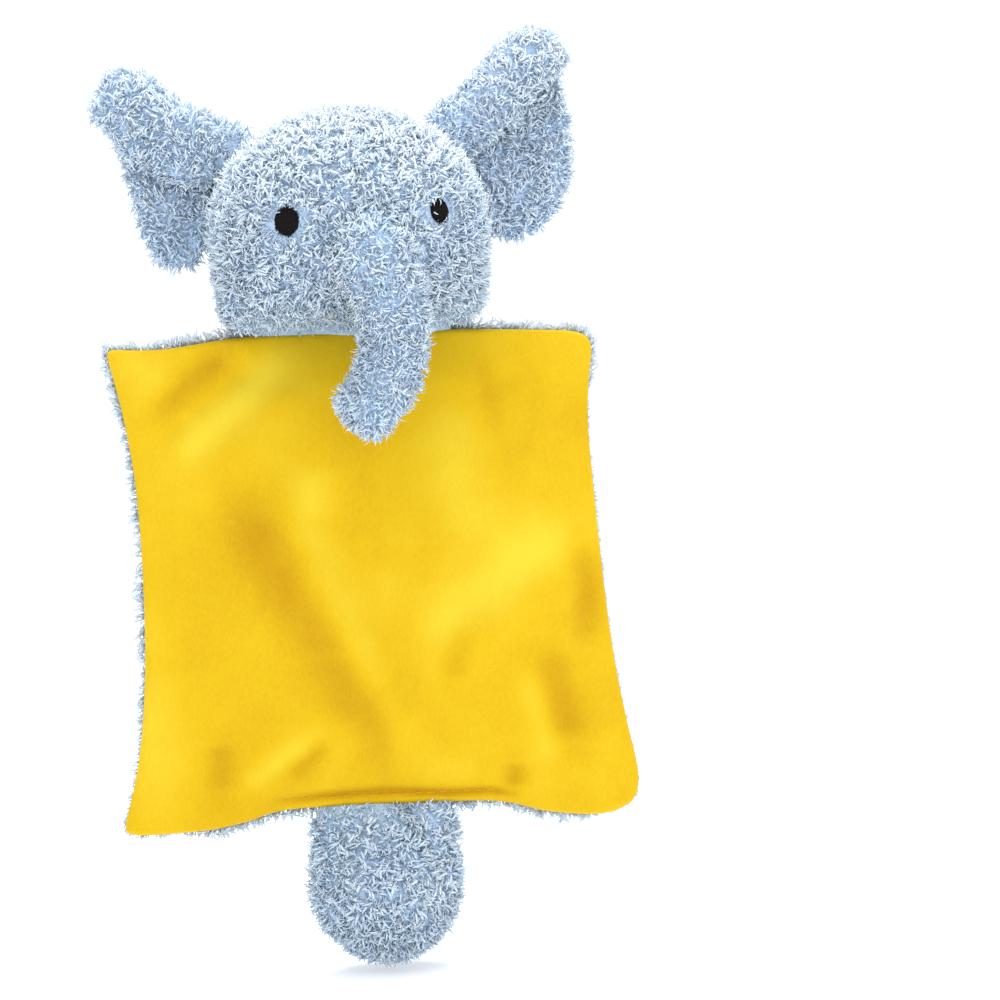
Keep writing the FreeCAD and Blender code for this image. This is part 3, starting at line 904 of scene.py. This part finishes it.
def strokes(lines, x, z):
    # each stroke is strongest along its line and fades out towards its ends
    total = 0.0
    for *line, high, wide in lines:
        curve = [Vector((q[0], 0, q[1])) for q in line]
        best, where = 1e9, 0.0
        for k, (a, b) in enumerate(zip(curve, curve[1:])):
            along = b - a
            f = clamp((Vector((x, 0, z)) - a).dot(along) / along.length_squared)
            far = (Vector((x, 0, z)) - a - along * f).length
            if far < best:
                best, where = far, (k + f) / (len(curve) - 1)
        if best < wide * 3:
            total += high * math.exp(-(best / wide) ** 2) * smooth(min(where, 1 - where), -0.12, 0.22)
    return total


def padShell():
    # front and back sheets sewn together all round; the front one rolls a little over the edge
    bm = bmesh.new()
    bmesh.ops.create_grid(bm, x_segments=pad["cols"], y_segments=pad["rows"], size=1)
    twin = bmesh.ops.duplicate(bm, geom=bm.verts[:] + bm.edges[:] + bm.faces[:])
    backVerts = {g for g in twin["geom"] if isinstance(g, bmesh.types.BMVert)}
    backFaces = [g for g in twin["geom"] if isinstance(g, bmesh.types.BMFace)]
    for f in backFaces:
        f.material_index = 1
    bmesh.ops.reverse_faces(bm, faces=backFaces)
    sewn = []
    for v in bm.verts:
        u, w = (math.copysign(1 - (1 - min(abs(c), 1)) ** 1.2, c) for c in (v.co.x, v.co.y))
        inset = (1 - max(abs(u), abs(w))) * pad["halfWide"]
        bulge = math.sqrt(1 - (1 - clamp(inset / pad["edge"])) ** 2)
        crown = 1 - math.exp(-max(inset - 1, 0) / 10)
        under = 0.987 if v in backVerts else 1 - 0.013 * (1 - clamp(inset / 1.4)) ** 2
        p = padPlace(u * under, w * under)
        if v in backVerts:
            p.y = pad["seamY"] + pad["back"] * bulge + 0.5 * crown
        else:
            p.y = pad["seamY"] - pad["front"] * bulge - pad["crown"] * crown
        v.co = p * mm
        if inset < 0.01:
            sewn.append(v)
    bmesh.ops.remove_doubles(bm, verts=sewn, dist=0.05 * mm)
    mesh = bpy.data.meshes.new("padShell")
    bm.to_mesh(mesh)
    bm.free()
    mesh.materials.append(yellowVelour)
    mesh.materials.append(bluePlush)
    ob = bpy.data.objects.new("padShell", mesh)
    scene.collection.objects.link(ob)
    return ob


def inflate(ob):
    # cloth with pressure: the seam is held and both faces swell
    rest = [v.co.copy() for v in ob.data.vertices]
    sides = {}
    for f in ob.data.polygons:
        for v in f.vertices:
            sides.setdefault(v, set()).add(f.material_index)
    held = ob.vertex_groups.new(name="held")
    held.add([v for v, both in sides.items() if len(both) > 1], 1.0, "REPLACE")
    cloth = ob.modifiers.new("fill", "CLOTH")
    cloth.settings.quality = 5
    cloth.settings.mass = 0.2
    cloth.settings.tension_stiffness = 12
    cloth.settings.compression_stiffness = 12
    cloth.settings.bending_stiffness = 0.3
    cloth.settings.use_pressure = True
    cloth.settings.uniform_pressure_force = pad["pressure"]
    cloth.settings.vertex_group_mass = "held"
    cloth.settings.effector_weights.gravity = 0
    cloth.collision_settings.use_collision = False
    cloth.point_cache.frame_start = 1
    cloth.point_cache.frame_end = pad["frames"]
    for f in range(1, pad["frames"] + 1):
        scene.frame_set(f)
    bake(ob)
    scene.frame_set(1)
    cap = pad["cap"] * mm
    moved = 0.0
    for v, was in zip(ob.data.vertices, rest):
        move = v.co - was
        moved = max(moved, move.length / mm)
        if move.length > cap:
            v.co = was + move * (cap / move.length)
    print(f"pad filled, cloth moved up to {moved:.1f} mm")


def padFinish(ob):
    # one smooth subdivision, then the folds, which move both faces
    sub = ob.modifiers.new("soft", "SUBSURF")
    sub.levels = sub.render_levels = 1
    bake(ob)
    for v in ob.data.vertices:
        x, z = v.co.x / mm, v.co.z / mm
        edge = min(59 - abs(x), 60.5 - abs(z))
        fold = strokes(pad["folds"], x, z) * smooth(edge, -3, 4)
        isFront = v.co.y / mm < pad["seamY"] - 0.2
        v.co.y -= fold * mm * (1.0 if isFront else 0.45)


def padHalf(shell, name, side, material, wall):
    # one face of the filled pad, given its own thickness
    bm = bmesh.new()
    bm.from_mesh(shell.data)
    bmesh.ops.delete(bm, geom=[f for f in bm.faces if f.material_index != side], context="FACES")
    names = ("furry", "pale", "trim", "tone", "along", "side", "nap")
    layers = {n: bm.verts.layers.float.new(n) for n in names}
    layers["lay"] = bm.verts.layers.float_vector.new("lay")
    for v in bm.verts:
        x, z = v.co.x / mm, v.co.z / mm
        rim = smooth(max(abs(x) / 58, abs(z) / 58), 0.93, 1.0)
        # the fringe is short down the right edge and the lower left
        hidden = smooth(x, 50, 56) * smooth(50 - z, 0, 8)
        hidden = max(hidden, 0.8 * smooth(-x, 42, 48) * smooth(-z, -46, -36))
        v[layers["furry"]] = 0.5 + 0.5 * rim
        # painted light: the plush paler near the top edge, where the top light falls
        v[layers["pale"]] = 0.42 + 0.35 * smooth(z, 40, 60)
        v[layers["trim"]] = 1 - 0.55 * rim * hidden
        # bare cloth under the pile: root colour, a little darker, as painted shade in the gaps between locks
        v[layers["tone"]] = 0.3
        v[layers["side"]] = 0.5
        # painted light and shade from those strokes, 0.5 where there is none
        v[layers["nap"]] = clamp(0.5 + 0.8 * strokes(pad["nap"], x, z))
        outwards = Vector((x / 60, 0, z / 60))
        v[layers["lay"]] = Vector((0, 0, -0.15)) + outwards * rim * 1.9 * (1 - 0.6 * hidden)
    for f in bm.faces:
        f.material_index = 0
    outer = set(bm.verts)
    bmesh.ops.solidify(bm, geom=bm.faces[:], thickness=wall * mm)
    for v in bm.verts:
        if v not in outer:
            v[layers["furry"]] = 0.0
    return toObject(inOrder(bm), name, material)


shell = padShell()
inflate(shell)
padFinish(shell)
padFront = padHalf(shell, "padVelourFront", 0, yellowVelour, 0.9)
padBack = padHalf(shell, "padPlushBack", 1, bluePlush, 1.0)
bpy.data.objects.remove(shell)
frontTree = BVHTree.FromPolygons([v.co.copy() for v in padFront.data.vertices],
                                 [p.vertices[:] for p in padFront.data.polygons])
growPile(padBack, spacing=0.3, density=4.2, length=1.05, unruly=0.36, seed=pad["seed"])
for v in padBack.data.vertices:
    # no lock may reach far through the seam to the front
    v.co.y += 0.85 * max(pad["seamY"] * mm - v.co.y, 0)
for ob, nodes in ((padFront, ("pad_front_panel", "pad_wadding", "pad_edge_thread", "neck_seam_thread",
                              "foot_seam_thread")),
                  (padBack, ("pad_back_panel",))):
    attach(ob, "pad")
    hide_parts(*nodes)
print("pad done")


def makeStitches():
    # short topstitches where the pad was closed, each sunk a little at its ends
    row = dict(count=18, first=(-24, -53.1), last=(28, -54.4), long=2.1, thick=0.2, sink=0.24, seed=6)
    rnd = random.Random(row["seed"])
    bm = bmesh.new()
    for k in range(row["count"]):
        f = k / (row["count"] - 1)
        x = row["first"][0] + (row["last"][0] - row["first"][0]) * f
        z = row["first"][1] + (row["last"][1] - row["first"][1]) * f + rnd.uniform(-0.08, 0.08)

        def stitch(a, around, out):
            thin = row["thick"] * math.sin(math.pi * clamp(a, 0.1, 0.9)) ** 0.35
            at = Vector((x + (a - 0.5) * row["long"], -60, z)) * mm
            hit, *_ = frontTree.ray_cast(at, Vector((0, 1, 0)))
            lift = 0.02 - row["sink"] * 4 * (a - 0.5) ** 2
            return hit + Vector((0, -lift - out * thin, around * thin)) * mm

        addThread(bm, 8, 7, stitch)
    bmesh.ops.recalc_face_normals(bm, faces=bm.faces[:])
    ob = toObject(bm, "closingStitches", padThread)
    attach(ob, "pad")
    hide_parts("closing_stitches")


makeStitches()
print("stitches done")


def makeStudio():
    # a round sheet of paper whose rim curves up into a wall
    room = dict(floorZ=-97.5, radius=1700, wallH=900, corner=500)
    bm = bmesh.new()
    bmesh.ops.create_circle(bm, cap_ends=True, segments=96, radius=room["radius"] * mm)
    bmesh.ops.translate(bm, verts=bm.verts, vec=(0, 0, room["floorZ"] * mm))
    rim = [e for e in bm.edges if e.is_boundary]
    up = bmesh.ops.extrude_edge_only(bm, edges=rim)
    bmesh.ops.translate(bm, verts=[g for g in up["geom"] if isinstance(g, bmesh.types.BMVert)],
                        vec=(0, 0, room["wallH"] * mm))
    bend = [e for e in bm.edges if not e.is_boundary and all(v.co.z < 0 for v in e.verts)]
    bmesh.ops.bevel(bm, geom=bend, offset=room["corner"] * mm, offset_type="OFFSET", segments=12, profile=0.5,
                    affect="EDGES", material=-1)
    bmesh.ops.recalc_face_normals(bm, faces=bm.faces[:])
    if bm.faces[0].normal.z < 0:
        bmesh.ops.reverse_faces(bm, faces=bm.faces[:])
    mat, nodes, links, shader = nodeMaterial("studioPaper")
    shader.inputs["Base Color"].default_value = (0.93, 0.94, 0.95, 1)
    shader.inputs["Roughness"].default_value = 0.9
    shader.inputs["Emission Color"].default_value = (1, 1, 1, 1)
    shader.inputs["Emission Strength"].default_value = 0.28
    toObject(bm, "studioFloor", mat)


def makeLight(name, place, aim, size, power, colour=(1, 1, 1)):
    data = bpy.data.lights.new(name, "AREA")
    data.size = size
    data.energy = power
    data.color = colour
    ob = bpy.data.objects.new(name, data)
    ob.location = Vector(place)
    ob.rotation_euler = (Vector(aim) - Vector(place)).to_track_quat("-Z", "Y").to_euler()
    scene.collection.objects.link(ob)


def makeCamera():
    shot = dict(aim=(34.0, -6.0, 17.8), azimuth=-8.5, elevation=0.5, roll=3.0, wide=250.0, lens=80.0)
    data = bpy.data.cameras.new("camera")
    data.lens = shot["lens"]
    data.sensor_width = 36.0
    data.clip_start = 0.01
    data.clip_end = 20
    ob = bpy.data.objects.new("camera", data)
    a, e = math.radians(shot["azimuth"]), math.radians(shot["elevation"])
    back = Vector((math.sin(a) * math.cos(e), -math.cos(a) * math.cos(e), math.sin(e)))
    away = shot["wide"] * mm * shot["lens"] / data.sensor_width
    ob.location = Vector(shot["aim"]) * mm + back * away
    roll = Matrix.Rotation(math.radians(-shot["roll"]), 3, "Z").to_quaternion()
    ob.rotation_euler = ((-back).to_track_quat("-Z", "Y") @ roll).to_euler()
    scene.collection.objects.link(ob)
    scene.camera = ob


makeStudio()
makeLight("keyLight", (-0.25, -0.65, 0.95), (0, 0, 0.05), 0.9, 4.5)
makeLight("fillLight", (0.7, -0.7, 0.25), (0, 0, 0.02), 0.9, 1.9)
makeLight("topLight", (0.05, 0.12, 0.85), (0, 0, 0.08), 0.6, 11.0)
world = bpy.data.worlds.new("studioAir")
world.use_nodes = True
world.node_tree.nodes["Background"].inputs["Color"].default_value = (0.94, 0.97, 1.0, 1)
world.node_tree.nodes["Background"].inputs["Strength"].default_value = 0.42
scene.world = world
scene.view_settings.view_transform = "Standard"
makeCamera()
print("studio done")

bpy.data.collections.remove(tufts)
for ob in [o for o in bpy.data.objects if o.name.startswith("tuft")]:
    bpy.data.objects.remove(ob)
